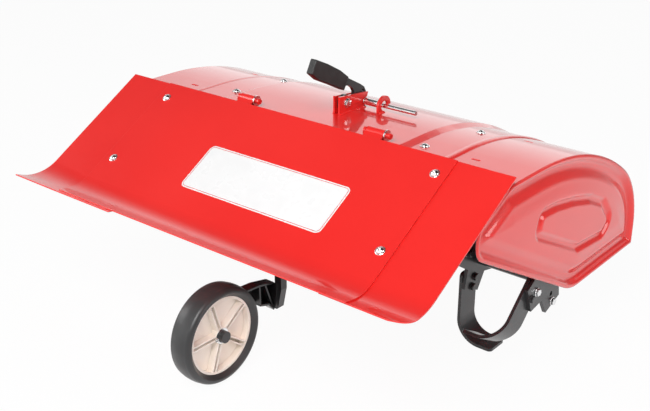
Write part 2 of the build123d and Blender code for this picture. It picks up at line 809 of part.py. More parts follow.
with BuildPart() as wheel_rim:
    with BuildSketch(at_wheel(wheel_x - rim_width / 2)):
        Circle(rim_radius)
        Circle(rim_radius - rim_wall, mode=Mode.SUBTRACT)
        Circle(wheel_hub)
        for pair in range(rib_pairs):
            turn = rib_start + pair * 360 / rib_pairs
            for side in (-1, 1):
                middle = Vector((rim_radius + wheel_hub) / 2 - rim_wall / 2, side * rib_gap / 2)
                with Locations(Location(middle.rotate(Axis.Z, turn), turn)):
                    Rectangle(rim_radius - wheel_hub, rib_sheet)
    extrude(amount=rim_width)
    with BuildSketch(at_wheel(wheel_x - rim_web / 2)):
        Circle(rim_radius)
    extrude(amount=rim_web)
    with BuildSketch(at_wheel(wheel_x - rim_width / 2)):
        Circle(axle_radius + running_fit)
    extrude(amount=rim_width, mode=Mode.SUBTRACT)
wheel_rim.part.label = "wheel_rim"
export_step(wheel_rim.part, "parts/wheel_rim.step")

arm_x = wheel_x - tyre_width / 2 - arm_gap      # inner face of the arm's web
rim_face = wheel_x + rim_width / 2
with BuildPart() as wheel_axle:
    with BuildSketch(at_wheel(arm_x)):
        Circle(spacer_radius)
    extrude(amount=rim_face - rim_width - side_play - arm_x)
    with BuildSketch(at_wheel(arm_x)):
        Circle(axle_radius)
    extrude(amount=rim_face + side_play - arm_x)
    with BuildSketch(at_wheel(rim_face + side_play)):
        Circle(axle_cap)
    extrude(amount=axle_cap_length)
wheel_axle.part.label = "wheel_axle"
export_step(wheel_axle.part, "parts/wheel_axle.step")

with BuildPart() as wheel_post:
    with BuildSketch(Plane.XY.offset(post_low)):
        with Locations((0, post_y)):
            Rectangle(post, post)
    extrude(amount=sleeve_high - post_low)
    with BuildSketch(side_view(-post / 2)):
        with Locations((post_y + post / 2, post_low)):
            with BuildLine():
                Polyline((0, 0), (0, post_taper), (-post_toe[1], 0), close=True)
            make_face()
    extrude(amount=post, mode=Mode.SUBTRACT)
    with BuildSketch(forward(post_y - post / 2, post_low)):
        with BuildLine():
            Polyline((-post / 2, 0), (-post / 2, post_taper), (-post / 2 + post_toe[0], 0), close=True)
        make_face()
    extrude(amount=post, mode=Mode.SUBTRACT)
wheel_post.part.label = "wheel_post"
export_step(wheel_post.part, "parts/wheel_post.step")

back_y = post_y - post / 2      # rear face of the post, which the arm's end plate meets
with BuildPart() as wheel_arm:
    with BuildSketch(side_view(arm_x)):
        with BuildLine():
            Polyline(
                (wheel_y, tyre_radius - arm_boss), (wheel_y, tyre_radius + arm_boss), *arch,
                *reversed(arm_foot), close=True,
            )
        make_face()
        with Locations((wheel_y, tyre_radius)):
            Circle(arm_boss)
        with Locations((back_y, 0)):
            Rectangle(4 * post, 4 * tyre_radius, align=(Align.MIN, Align.CENTER), mode=Mode.SUBTRACT)
    extrude(amount=-arm_web)
    with BuildSketch(side_view(arm_x)):
        for line in (arch, arm_foot, arm_rib, arm_gusset):
            with BuildLine():
                Polyline(*line)
            trace(line_width=arm_sheet)
        with Locations((back_y, 0)):
            Rectangle(4 * post, 4 * tyre_radius, align=(Align.MIN, Align.CENTER), mode=Mode.SUBTRACT)
    extrude(amount=arm_inner_x - arm_x)
    with BuildSketch(forward(back_y, 0)):
        with Locations((-(arm_x - arm_web), post_low)):
            Rectangle(
                post / 2 - post_toe[0] - arm_x + arm_web, arch[-1][1] - post_low,
                align=(Align.MAX, Align.MIN),
            )
    extrude(amount=-arm_sheet)
wheel_arm.part.label = "wheel_arm"
export_step(wheel_arm.part, "parts/wheel_arm.step")
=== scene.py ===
import json
import math

import bmesh
import bpy
import numpy as np
from mathutils import Matrix, Vector
from mathutils.bvhtree import BVHTree


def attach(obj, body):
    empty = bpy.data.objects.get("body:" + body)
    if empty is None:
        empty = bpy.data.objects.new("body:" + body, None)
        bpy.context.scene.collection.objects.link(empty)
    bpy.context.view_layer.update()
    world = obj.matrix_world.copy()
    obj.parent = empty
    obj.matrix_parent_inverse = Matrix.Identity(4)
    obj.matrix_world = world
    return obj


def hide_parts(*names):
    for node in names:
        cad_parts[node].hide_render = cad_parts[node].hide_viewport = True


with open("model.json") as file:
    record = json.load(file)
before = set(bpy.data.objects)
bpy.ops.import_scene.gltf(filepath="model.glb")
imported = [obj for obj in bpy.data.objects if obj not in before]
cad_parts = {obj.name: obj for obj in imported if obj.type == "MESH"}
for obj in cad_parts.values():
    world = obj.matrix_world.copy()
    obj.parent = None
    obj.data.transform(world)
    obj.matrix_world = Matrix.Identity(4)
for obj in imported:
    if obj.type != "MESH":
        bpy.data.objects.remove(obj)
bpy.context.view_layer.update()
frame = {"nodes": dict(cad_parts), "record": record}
print("frame loaded")

# the camera looks from behind the machine, over its right corner
view = {
    "place": (1.3046, -1.6393, 1.1551),
    "turn": 39.6,  # degrees from straight behind, towards the right
    "rise": 23.5,
    "lens": 57.1,
    "sensor": 36,
}
turn, rise = math.radians(view["turn"]), math.radians(view["rise"])
toCamera = Vector((math.sin(turn) * math.cos(rise), -math.cos(turn) * math.cos(rise), math.sin(rise)))
cameraData = bpy.data.cameras.new("camera")
cameraData.lens = view["lens"]
cameraData.sensor_width = view["sensor"]
camera = bpy.data.objects.new("camera", cameraData)
camera.location = view["place"]
camera.rotation_mode = "QUATERNION"
camera.rotation_quaternion = (-toCamera).to_track_quat("-Z", "Y")
bpy.context.scene.collection.objects.link(camera)
bpy.context.scene.camera = camera


def newMaterial(name):
    mat = bpy.data.materials.new(name)
    mat.use_nodes = True
    tree = mat.node_tree
    return mat, tree.nodes, tree.links, tree.nodes["Principled BSDF"]


def noiseAt(nodes, links, scale, detail=4.0, stretch=None):
    coords = nodes.new("ShaderNodeTexCoord")
    noise = nodes.new("ShaderNodeTexNoise")
    noise.inputs["Scale"].default_value = scale
    noise.inputs["Detail"].default_value = detail
    if stretch:
        mapping = nodes.new("ShaderNodeMapping")
        mapping.inputs["Scale"].default_value = stretch
        links.new(coords.outputs["Object"], mapping.inputs["Vector"])
        links.new(mapping.outputs["Vector"], noise.inputs["Vector"])
    else:
        links.new(coords.outputs["Object"], noise.inputs["Vector"])
    return noise.outputs["Fac"]


def remap(nodes, links, value, low, high, toLow, toHigh):
    node = nodes.new("ShaderNodeMapRange")
    node.inputs["From Min"].default_value = low
    node.inputs["From Max"].default_value = high
    node.inputs["To Min"].default_value = toLow
    node.inputs["To Max"].default_value = toHigh
    links.new(value, node.inputs["Value"])
    return node.outputs["Result"]


def blendColors(nodes, links, factor, first, second):
    node = nodes.new("ShaderNodeMix")
    node.data_type = "RGBA"
    links.new(factor, node.inputs["Factor"])
    for socket, color in (("A", first), ("B", second)):
        target = [s for s in node.inputs if s.name == socket and s.type == "RGBA"][0]
        if isinstance(color, tuple):
            target.default_value = (*color, 1)
        else:
            links.new(color, target)
    return [s for s in node.outputs if s.type == "RGBA"][0]


cloudRange = (0.35, 0.65)  # where a soft noise goes from one colour to the other
streakRange = (0.3, 0.7)  # the same for smears and brush lines
wornEdge = {
    "samples": 6,
    "turn": (0.99, 0.8),  # how far the surface turns from a face to an edge
    "speckScale": 320,
    "speck": (0.5, 0.66),
    "paintRounds": 0.6,  # share of an edge's width that paint rounds off
}


def edgeMask(nodes, links, radius):
    # 1 on sharp edges, 0 on flat faces
    bevel = nodes.new("ShaderNodeBevel")
    bevel.samples = wornEdge["samples"]
    bevel.inputs["Radius"].default_value = radius
    geometry = nodes.new("ShaderNodeNewGeometry")
    dot = nodes.new("ShaderNodeVectorMath")
    dot.operation = "DOT_PRODUCT"
    links.new(bevel.outputs["Normal"], dot.inputs[0])
    links.new(geometry.outputs["Normal"], dot.inputs[1])
    return remap(nodes, links, dot.outputs["Value"], *wornEdge["turn"], 0, 1)


def softNormal(nodes, links, radius, height, strength, distance=0.001):
    # rounds sharp edges a little and lays a fine relief over them
    bevel = nodes.new("ShaderNodeBevel")
    bevel.samples = wornEdge["samples"]
    bevel.inputs["Radius"].default_value = radius
    bump = nodes.new("ShaderNodeBump")
    bump.inputs["Strength"].default_value = strength
    bump.inputs["Distance"].default_value = distance
    links.new(height, bump.inputs["Height"])
    links.new(bevel.outputs["Normal"], bump.inputs["Normal"])
    return bump.outputs["Normal"]


def paintedMetal(name, look):
    mat, nodes, links, shader = newMaterial(name)
    patch = noiseAt(nodes, links, look["patch"], 3)
    tone = remap(nodes, links, patch, *cloudRange, 0, 1)
    color = blendColors(nodes, links, tone, look["color"], look["deep"])
    edge = edgeMask(nodes, links, look["edge"])
    speck = noiseAt(nodes, links, wornEdge["speckScale"], 5)
    speck = remap(nodes, links, speck, *wornEdge["speck"], 0, 1)
    worn = nodes.new("ShaderNodeMath")
    worn.operation = "MULTIPLY"
    links.new(edge, worn.inputs[0])
    links.new(speck, worn.inputs[1])
    worn = remap(nodes, links, worn.outputs[0], 0, 1, 0, look["wear"])
    color = blendColors(nodes, links, worn, color, look["bare"])
    links.new(color, shader.inputs["Base Color"])
    smear = noiseAt(nodes, links, look["smear"], 5, look["smearStretch"])
    smooth, dull = look["rough"] - look["spread"], look["rough"] + look["spread"]
    links.new(remap(nodes, links, smear, *streakRange, smooth, dull), shader.inputs["Roughness"])
    shader.inputs["Specular IOR Level"].default_value = look["sheetGloss"]
    shader.inputs["Coat Weight"].default_value = look["coat"]
    shader.inputs["Coat Roughness"].default_value = look["coatRough"]
    shader.inputs["Coat IOR"].default_value = look["coatBend"]
    peel = noiseAt(nodes, links, look["peel"], 2)
    rounding = look.get("rounding", look["edge"] * wornEdge["paintRounds"])
    links.new(softNormal(nodes, links, rounding, peel, look["peelHeight"]), shader.inputs["Normal"])
    return mat


def plainMetal(name, look):
    mat, nodes, links, shader = newMaterial(name)
    cloud = noiseAt(nodes, links, look["cloud"], 4)
    tone = remap(nodes, links, cloud, *cloudRange, 0, 1)
    links.new(blendColors(nodes, links, tone, look["color"], look["dull"]), shader.inputs["Base Color"])
    shader.inputs["Metallic"].default_value = 1.0
    brushed = noiseAt(nodes, links, look["grain"], 4, look["stretch"])
    smooth, dull = look["rough"] * look["smoother"], look["rough"] * look["duller"]
    links.new(remap(nodes, links, brushed, *streakRange, smooth, dull), shader.inputs["Roughness"])
    links.new(softNormal(nodes, links, look["edge"], brushed, look["relief"]), shader.inputs["Normal"])
    return mat


def mouldedPart(name, look):
    mat, nodes, links, shader = newMaterial(name)
    cloud = remap(nodes, links, noiseAt(nodes, links, look["cloud"], 5), *cloudRange, 0, 1)
    color = blendColors(nodes, links, cloud, look["color"], look["deep"])
    edge = remap(nodes, links, edgeMask(nodes, links, look["edge"]), 0, 1, 0, look["wear"])
    links.new(blendColors(nodes, links, edge, color, look["scuff"]), shader.inputs["Base Color"])
    shader.inputs["Specular IOR Level"].default_value = look["gloss"]
    grain = noiseAt(nodes, links, look["grain"], 6, look["stretch"])
    smooth, dull = look["rough"] - look["spread"], look["rough"] + look["spread"]
    links.new(remap(nodes, links, cloud, 0, 1, smooth, dull), shader.inputs["Roughness"])
    normal = softNormal(nodes, links, look["edge"], grain, look["relief"], look["grainDepth"])
    links.new(normal, shader.inputs["Normal"])
    return mat


redLook = {
    "color": (0.84, 0.021, 0.017),
    "deep": (0.79, 0.016, 0.0135),
    "bare": (0.86, 0.12, 0.09),  # thin paint on an edge
    "patch": 2.5,
    "edge": 0.0016,
    "wear": 0.35,
    "rough": 0.335,
    "spread": 0.045,
    "smear": 5,
    "smearStretch": (1, 0.35, 1),
    "sheetGloss": 0.34,  # the colour coat under the clear one
    "coat": 1.0,
    "coatRough": 0.03,
    "coatBend": 1.5,  # index of refraction
    "peel": 260,
    "peelHeight": 0.035,
}
blackLook = dict(
    redLook, color=(0.016, 0.016, 0.017), deep=(0.011, 0.011, 0.012), bare=(0.16, 0.16, 0.16),
    rough=0.34, coat=0.6, coatRough=0.12, peelHeight=0.08, wear=0.4, edge=0.0012,
)
tineLook = dict(
    redLook, color=(0.034, 0.034, 0.036), deep=(0.025, 0.025, 0.027), bare=(0.3, 0.3, 0.3), patch=14,
    rough=0.34, coat=0.4, coatRough=0.2, peel=420, peelHeight=0.16, wear=0.55, edge=0.0014,
)
castLook = dict(
    redLook, color=(0.035, 0.035, 0.037), deep=(0.025, 0.025, 0.026), bare=(0.2, 0.2, 0.2), patch=22,
    rough=0.5, coat=0.15, coatRough=0.3, peel=180, peelHeight=0.5, wear=0.4, edge=0.002,
)
zincLook = {
    "color": (0.93, 0.935, 0.94),
    "dull": (0.78, 0.785, 0.79),
    "cloud": 45,
    "grain": 350,
    "stretch": (1, 1, 1),
    "edge": 0.0006,
    "rough": 0.2,
    "smoother": 0.75,
    "duller": 1.3,
    "relief": 0.05,
}
machinedLook = dict(
    zincLook, color=(0.62, 0.61, 0.6), dull=(0.5, 0.49, 0.48), grain=900, stretch=(1, 0.05, 1), rough=0.38,
)
rubberLook = {
    "color": (0.036, 0.036, 0.037),
    "deep": (0.026, 0.026, 0.027),
    "scuff": (0.06, 0.058, 0.056),
    "cloud": 18,
    "grain": 700,
    "stretch": (1, 0.04, 0.04),
    "edge": 0.003,
    "wear": 0.35,
    "rough": 0.4,
    "spread": 0.06,
    "gloss": 0.6,
    "relief": 0.3,
    "grainDepth": 0.0006,
}
rimLook = dict(
    rubberLook, color=(0.95, 0.895, 0.83), deep=(0.92, 0.84, 0.75), scuff=(0.96, 0.93, 0.89), cloud=9,
    grain=500, stretch=(1, 1, 1), edge=0.0015, rough=0.38, gloss=0.5, relief=0.06,
)
gripLook = dict(
    rubberLook, color=(0.02, 0.019, 0.019), deep=(0.015, 0.0145, 0.0145), scuff=(0.09, 0.088, 0.086),
    cloud=40, grain=700, stretch=(1, 1, 1), edge=0.002, rough=0.42, gloss=0.5, relief=0.2,
)
labelLook = dict(
    rubberLook, color=(0.85, 0.85, 0.85), deep=(0.82, 0.82, 0.82), scuff=(0.87, 0.87, 0.87), cloud=30,
    grain=200, stretch=(1, 1, 1), edge=0.0003, rough=0.3, gloss=0.5, relief=0.03,
)
finishes = {
    "red_paint": paintedMetal("redPaint", redLook),
    "black_paint": paintedMetal("blackPaint", blackLook),
    "dark_steel": paintedMetal("tinePaint", tineLook),
    "cast_housing": paintedMetal("castPaint", castLook),
    "zinc_plate": plainMetal("zincPlate", zincLook),
    "machined_steel": plainMetal("machinedSteel", machinedLook),
    "tyre_rubber": mouldedPart("tyreRubber", rubberLook),
    "rim_plastic": mouldedPart("rimPlastic", rimLook),
    "grip_plastic": mouldedPart("gripPlastic", gripLook),
}
labelWhite = mouldedPart("labelFilm", labelLook)
pressedRed = paintedMetal("pressedRedPaint", dict(redLook, rounding=0.009))
slotOf = {row["node"]: row["material_slot"] for row in frame["record"]["subparts"]}
for name, node in frame["nodes"].items():
    node.data.materials.clear()
    node.data.materials.append(pressedRed if name == "hood_centre" else finishes[slotOf[name]])
print("finishes made")


def makePiece(name, mesh, body, slot, finish=None, smooth=35):
    # smooth: the angle in degrees above which an edge stays sharp
    bmesh.ops.recalc_face_normals(mesh, faces=mesh.faces)
    data = bpy.data.meshes.new(name)
    mesh.to_mesh(data)
    mesh.free()
    for face in data.polygons:
        face.use_smooth = True
    data.set_sharp_from_angle(angle=math.radians(smooth))
    piece = bpy.data.objects.new(name, data)
    bpy.context.scene.collection.objects.link(piece)
    data.materials.append(finish or finishes[slot])
    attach(piece, body)


def placeAt(point, along):
    # local z along the given direction
    return Matrix.Translation(point) @ Vector(along).to_track_quat("Z", "Y").to_matrix().to_4x4()


def addTurned(mesh, profile, steps, where, spin=0.0):
    # profile: (radius, height) pairs; a radius of 0 closes an end
    rings = []
    for radius, height in profile:
        if radius == 0:
            rings.append([mesh.verts.new(where @ Vector((0, 0, height)))])
            continue
        ring = []
        for step in range(steps):
            angle = spin + 2 * math.pi * step / steps
            point = Vector((radius * math.cos(angle), radius * math.sin(angle), height))
            ring.append(mesh.verts.new(where @ point))
        rings.append(ring)
    for low, high in zip(rings, rings[1:]):
        for step in range(steps):
            after = (step + 1) % steps
            corners = [low[step % len(low)], low[after % len(low)]]
            corners += [high[after % len(high)], high[step % len(high)]]
            corners = list(dict.fromkeys(corners))
            if len(corners) > 2:
                mesh.faces.new(corners)


def addTube(mesh, points, radius, steps=10, wobble=None):
    # a round bar or weld bead through the points
    rings = []
    for index, point in enumerate(points):
        ahead = points[min(index + 1, len(points) - 1)]
        behind = points[max(index - 1, 0)]
        where = placeAt(point, ahead - behind)
        size = radius * (wobble(index) if wobble else 1)
        ring = []
        for step in range(steps):
            angle = 2 * math.pi * step / steps
            ring.append(mesh.verts.new(where @ Vector((size * math.cos(angle), size * math.sin(angle), 0))))
        rings.append(ring)
    for low, high in zip(rings, rings[1:]):
        for step in range(steps):
            after = (step + 1) % steps
            mesh.faces.new((low[step], low[after], high[after], high[step]))
    mesh.faces.new(rings[0][::-1])
    mesh.faces.new(rings[-1])


hexagon = {"chamferFrom": 0.82, "topFace": 0.93}  # shares of its height and of its flats


def addHex(mesh, across, height, where, spin=0.0):
    # a hexagon with a turned chamfer on its outer face
    flat = across / 2
    corner = flat / math.cos(math.pi / 6)
    profile = [(0, 0), (corner, 0), (corner, height * hexagon["chamferFrom"])]
    profile += [(flat * hexagon["topFace"], height), (0, height)]
    addTurned(mesh, profile, 6, where, spin)


def addWasher(mesh, radius, height, steps, where, bore=0.0):
    addTurned(mesh, [(bore, 0), (radius, 0), (radius, height), (bore, height)], steps, where)


surfaces = {}


def seatOn(nodeName, start, direction):
    # where a line from start meets that node, and the way its surface faces
    if nodeName not in surfaces:
        graph = bpy.context.evaluated_depsgraph_get()
        surfaces[nodeName] = BVHTree.FromObject(frame["nodes"][nodeName], graph)
    spot, normal, _, _ = surfaces[nodeName].ray_cast(Vector(start), Vector(direction))
    if normal.dot(Vector(direction)) > 0:
        normal = -normal
    return spot, normal


# the barrel that the hood follows, measured from the rotor axis
hood = {
    "axis": (0.085, 0.1894),  # y and z of the rotor axis
    "reach": 0.351,
    "nose": -0.007,
    "noseRadius": 0.2,
    "crown": 0.277,
    "crownStart": -0.125,
    "crownRadius": 0.6954,
    "crownBack": -0.212,
    "backRadius": 0.06,
    "skirt": 26.3,  # its fall behind the crown, in degrees
    "frontLow": -0.048,
}


def arcPoints(center, radius, start, stop, steps):
    points = []
    for step in range(steps + 1):
        angle = math.radians(start + (stop - start) * step / steps)
        points.append((center[0] + radius * math.cos(angle), center[1] + radius * math.sin(angle)))
    return points


def barrelPath(grow, skirt):
    # the hood's line from its front edge over the crown to the skirt, from the rotor axis
    run = hood["reach"] - hood["noseRadius"] - hood["crownStart"]
    meet = math.degrees(math.atan2(hood["crownRadius"] - hood["crown"] + hood["nose"], run))
    points = [(hood["reach"] + grow, hood["frontLow"])]
    nose = (hood["reach"] - hood["noseRadius"], hood["nose"])
    crown = (hood["crownStart"], hood["crown"] - hood["crownRadius"])
    back = (hood["crownBack"], hood["crown"] - hood["backRadius"])
    points += arcPoints(nose, hood["noseRadius"] + grow, 0, meet, 24)
    points += arcPoints(crown, hood["crownRadius"] + grow, meet, 90, 24)
    points += arcPoints(back, hood["backRadius"] + grow, 90, 90 + hood["skirt"], 8)
    fall = math.radians(hood["skirt"])
    points.append((points[-1][0] - skirt * math.cos(fall), points[-1][1] - skirt * math.sin(fall)))
    return points


def roundCorner(before, corner, after, radius, steps=7):
    corner = Vector(corner)
    one, two = (Vector(before) - corner).normalized(), (Vector(after) - corner).normalized()
    half = one.angle(two) / 2
    center = corner + (one + two).normalized() * radius / math.sin(half)
    first = corner + one * radius / math.tan(half) - center
    last = corner + two * radius / math.tan(half) - center
    points = []
    for step in range(steps + 1):
        share = step / steps
        points.append(tuple(center + (first * (1 - share) + last * share).normalized() * radius))
    return points


def roundedPath(corners, radius):
    count = len(corners)
    points = []
    for index in range(count):
        points += roundCorner(corners[index - 1], corners[index], corners[(index + 1) % count], radius)
    return points


def distanceTo(loop, spots):
    # how far each spot lies from the closed loop, and the nearest point on it
    best = np.full(len(spots), 1e9)
    nearest = np.zeros_like(spots)
    for start, end in zip(loop, np.roll(loop, -1, axis=0)):
        way = end - start
        length = way @ way
        if length < 1e-12:
            continue
        share = np.clip(((spots - start) @ way) / length, 0, 1)
        foot = start + share[:, None] * way
        gap = np.linalg.norm(spots - foot, axis=1)
        closer = gap < best
        best[closer] = gap[closer]
        nearest[closer] = foot[closer]
    return best, nearest


def insideLoop(loop, spots):
    inside = np.zeros(len(spots), bool)
    for start, end in zip(loop, np.roll(loop, -1, axis=0)):
        if start[1] == end[1]:
            continue
        crosses = (start[1] > spots[:, 1]) != (end[1] > spots[:, 1])
        at = (end[0] - start[0]) * (spots[:, 1] - start[1]) / (end[1] - start[1]) + start[0]
        inside ^= crosses & (spots[:, 0] < at)
    return inside


def easeStep(value, low, high):
    share = np.clip((value - low) / (high - low), 0, 1)
    return share * share * (3 - 2 * share)


# end plates pressed from one sheet, as a field of depths over their outline
endPlate = {
    "outer": 0.493,
    "sheet": 0.0024,
    "rear": -0.334,
    "heel": 0.17,
    "knee": 0.058,
    "skirt": 0.06,
    "corners": (0.03, 0.04, 0.13),  # radii at the rear top, the heel and the knee
    "mesh": 0.003,
    "snap": (-0.85, 0.4),  # shares of the mesh within which a point moves on to the outline
    "merge": 0.0002,
    "smooth": 50,
    "swell": (0.05, 0.085),  # the field rises a little more over this width
    "swellDepth": 0.0022,
    "roll": 0.007,  # the edge turns in over this width
    "rollDepth": 0.0028,
    "groove": (0.006, 0.019, 0.027, 0.051),  # outer flank, then inner flank, from the edge
    "grooveDepth": 0.0095,
    "island": (
        (-0.115, 0.140), (-0.102, 0.180), (-0.040, 0.176), (0.035, 0.162), (0.110, 0.141), (0.170, 0.112),
        (0.214, 0.062), (0.180, 0.036), (0.069, 0.046),
    ),
    "islandCorner": 0.018,
    "islandFlank": (0.002, 0.0125),
    "islandDepth": 0.0068,
}
barrel = barrelPath(0, endPlate["skirt"])
rearTop = barrel[-1][1] - (barrel[-1][0] - endPlate["rear"]) * math.tan(math.radians(hood["skirt"]))
turns = [
    barrel[-1], (endPlate["rear"], rearTop), (endPlate["rear"], endPlate["heel"]),
    (endPlate["knee"], hood["frontLow"]), barrel[0],
]
outline = list(barrel)
for before, corner, after, radius in zip(turns, turns[1:], turns[2:], endPlate["corners"]):
    outline += roundCorner(before, corner, after, radius)
outline = np.array(outline)
island = np.array(roundedPath(endPlate["island"], endPlate["islandCorner"]))
cell = endPlate["mesh"]
low, high = outline.min(axis=0) - cell, outline.max(axis=0) + cell
columns, rows = (int(count) for count in np.ceil((high - low) / cell))
grid = np.array([(low[0] + i * cell, low[1] + j * cell) for j in range(rows) for i in range(columns)])
gap, foot = distanceTo(outline, grid)
depth = np.where(insideLoop(outline, grid), gap, -gap)
snapFrom, snapTo = endPlate["snap"]
edgeCell = (depth < cell * snapTo) & (depth > cell * snapFrom)
grid[edgeCell] = foot[edgeCell]
depth[edgeCell] = 0
fromIsland, _ = distanceTo(island, grid)
outFrom, outTo, inFrom, inTo = endPlate["groove"]
flank = easeStep(depth, outFrom, outTo)
sink = endPlate["grooveDepth"] * flank * (1 - easeStep(depth, inFrom, inTo))
sink = sink + endPlate["swellDepth"] * flank * (1 - easeStep(depth, *endPlate["swell"]))
sink = sink + endPlate["islandDepth"] * (1 - easeStep(fromIsland, *endPlate["islandFlank"]))
roll = 1 - np.clip(depth / endPlate["roll"], 0, 1)
sink = sink + endPlate["rollDepth"] * (1 - np.sqrt(1 - roll * roll))
for side, hand in ((-1, "left"), (1, "right")):
    mesh = bmesh.new()
    corners = {}
    for j in range(rows - 1):
        for i in range(columns - 1):
            first, above = j * columns + i, (j + 1) * columns + i
            quad = [first, first + 1, above + 1, above]
            if min(depth[index] for index in quad) < 0:
                continue
            for index in quad:
                if index not in corners:
                    x = side * (endPlate["outer"] - sink[index])
                    y, z = hood["axis"] + grid[index]
                    corners[index] = mesh.verts.new((x, y, z))
            mesh.faces.new([corners[index] for index in quad])
    bmesh.ops.dissolve_degenerate(mesh, dist=endPlate["merge"], edges=mesh.edges)
    data = bpy.data.meshes.new(f"pressed_end_plate_{hand}")
    bmesh.ops.recalc_face_normals(mesh, faces=mesh.faces)
    # an open sheet has to be told which way is out
    if sum(face.normal.x * face.calc_area() for face in mesh.faces) * side < 0:
        bmesh.ops.reverse_faces(mesh, faces=mesh.faces)
    mesh.to_mesh(data)
    mesh.free()
    for face in data.polygons:
        face.use_smooth = True
    data.set_sharp_from_angle(angle=math.radians(endPlate["smooth"]))
    plate = bpy.data.objects.new(f"pressed_end_plate_{hand}", data)
    bpy.context.scene.collection.objects.link(plate)
    data.materials.append(finishes["red_paint"])
    sheet = plate.modifiers.new("sheet", "SOLIDIFY")
    sheet.thickness = endPlate["sheet"]
    sheet.offset = -1
    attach(plate, "frame")
    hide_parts(f"end_plate_{hand}")
print("end plates pressed")

# turned-down edges of the middle hood sheet
hem = {
    "x": 0.337,
    "grow": 0.0027,
    "section": (
        (-0.011, 0.0001), (-0.006, 0.0009), (-0.002, 0.0011),
        (0.0010, 0.0002), (0.0036, -0.0013), (0.0048, -0.00255),
    ),  # across the edge, and above the sheet
    "skirt": 0.094,
    "smooth": 60,
}
mesh = bmesh.new()
for side in (-1, 1):
    strips = []
    for across, lift in hem["section"]:
        path = barrelPath(hem["grow"] + lift, hem["skirt"])
        x = side * (hem["x"] + across)
        strips.append([mesh.verts.new((x, hood["axis"][0] + y, hood["axis"][1] + z)) for y, z in path])
    for first, second in zip(strips, strips[1:]):
        for index in range(len(first) - 1):
            mesh.faces.new((first[index], first[index + 1], second[index + 1], second[index]))
makePiece("hood_edge_hems", mesh, "frame", "red_paint", smooth=hem["smooth"])
print("hood edges turned")

# round-headed bolts on the sheet metal
sheetBolt = {
    "washer": 0.0098,
    "washerHeight": 0.0013,
    "sunk": 0.0004,  # washer into the sheet, so that no light passes under it
    "chamferFrom": 0.7,
    "chamfer": 0.94,
    "dome": 0.0078,
    "domeHeight": 0.0045,
    "domeSunk": 0.0003,
    "domeSteps": 6,
    "domeKept": 5,
    "socket": 0.0026,
    "socketDepth": 0.0022,
    "socketTaper": 0.95,
    "nut": 0.0125,
    "nutHeight": 0.0052,
    "stud": 0.0038,
    "studLength": 0.0085,
    "studTip": 0.0093,
    "studTaper": 0.8,
}


def addSheetBolt(mesh, spot, normal, through):
    size = sheetBolt
    base = size["washerHeight"]
    where = placeAt(spot, normal)
    washer, dome, socket, stud = size["washer"], size["dome"], size["socket"], size["stud"]
    profile = [(0, -size["sunk"]), (washer, -size["sunk"]), (washer, base * size["chamferFrom"])]
    profile += [(washer * size["chamfer"], base), (0, base)]
    addTurned(mesh, profile, 28, where)
    crown = []
    # the dome stops at its socket
    for step in range(size["domeKept"]):
        angle = math.pi / 2 * step / size["domeSteps"]
        crown.append((dome * math.cos(angle), base + size["domeHeight"] * math.sin(angle)))
    rim = base + size["domeHeight"]
    floorOfSocket = rim - size["socketDepth"]
    crown += [(socket, rim), (socket * size["socketTaper"], floorOfSocket), (0, floorOfSocket)]
    foot = base - size["domeSunk"]
    addTurned(mesh, [(0, foot), (dome, foot)] + crown, 24, where)
    under = placeAt(spot - normal * through, -normal)
    addWasher(mesh, washer, base, 24, under)
    addHex(mesh, size["nut"], size["nutHeight"], under @ Matrix.Translation((0, 0, base)))
    profile = [(0, base), (stud, base), (stud, size["studLength"])]
    profile += [(stud * size["studTaper"], size["studTip"]), (0, size["studTip"])]
    addTurned(mesh, profile, 14, under)


flapBolts = {
    "x": 0.355,
    "downSlope": (0.0415, 0.228),  # from the flap's top edge
    "topEdge": (-0.145, 0.487),  # its y and z
    "slope": 30.5,
    "grip": 0.0053,  # the two lapped sheets that are clamped together
    "above": 0.1,  # where the search for the sheet starts
}
slope = math.radians(flapBolts["slope"])
downSlope = Vector((0, -math.cos(slope), -math.sin(slope)))
for side, hand in ((-1, "left"), (1, "right")):
    for number, run in enumerate(flapBolts["downSlope"]):
        start = Vector((side * flapBolts["x"], *flapBolts["topEdge"])) + downSlope * run
        spot, normal = seatOn("flap_centre", start + Vector((0, 0, flapBolts["above"])), (0, 0, -1))
        mesh = bmesh.new()
        addSheetBolt(mesh, spot, normal, flapBolts["grip"])
        makePiece(f"flap_bolt_{hand}_{number + 1}", mesh, "flap", "zinc_plate")

hoodBolts = {
    "places": ((-0.261, -0.057), (0.265, -0.082), (-0.267, 0.109), (0.292, 0.079)),
    "sheet": 0.0025,
    "above": 0.7,
}
mesh = bmesh.new()
for x, y in hoodBolts["places"]:
    spot, normal = seatOn("hood_centre", (x, y, hoodBolts["above"]), (0, 0, -1))
    addSheetBolt(mesh, spot, normal, hoodBolts["sheet"])
makePiece("hood_bolts", mesh, "frame", "zinc_plate")
print("sheet bolts set")

# blank label with a thin red line inside its edge
label = {
    "x": 0.0405,
    "downSlope": 0.1805,
    "width": 0.364,
    "height": 0.114,
    "corner": 0.012,
    "under": 0.0001,
    "film": 0.0004,
    "lineFrom": 0.0028,
    "lineWidth": 0.0011,
    "lineTop": 0.0006,
}


def roundedLoop(width, height, corner, steps=6):
    loop = []
    for cornerX, cornerY, start in ((1, 1, 0), (-1, 1, 90), (-1, -1, 180), (1, -1, 270)):
        for step in range(steps + 1):
            angle = math.radians(start + 90 * step / steps)
            x = cornerX * (width / 2 - corner) + corner * math.cos(angle)
            y = cornerY * (height / 2 - corner) + corner * math.sin(angle)
            loop.append(Vector((x, y, 0)))
    return loop


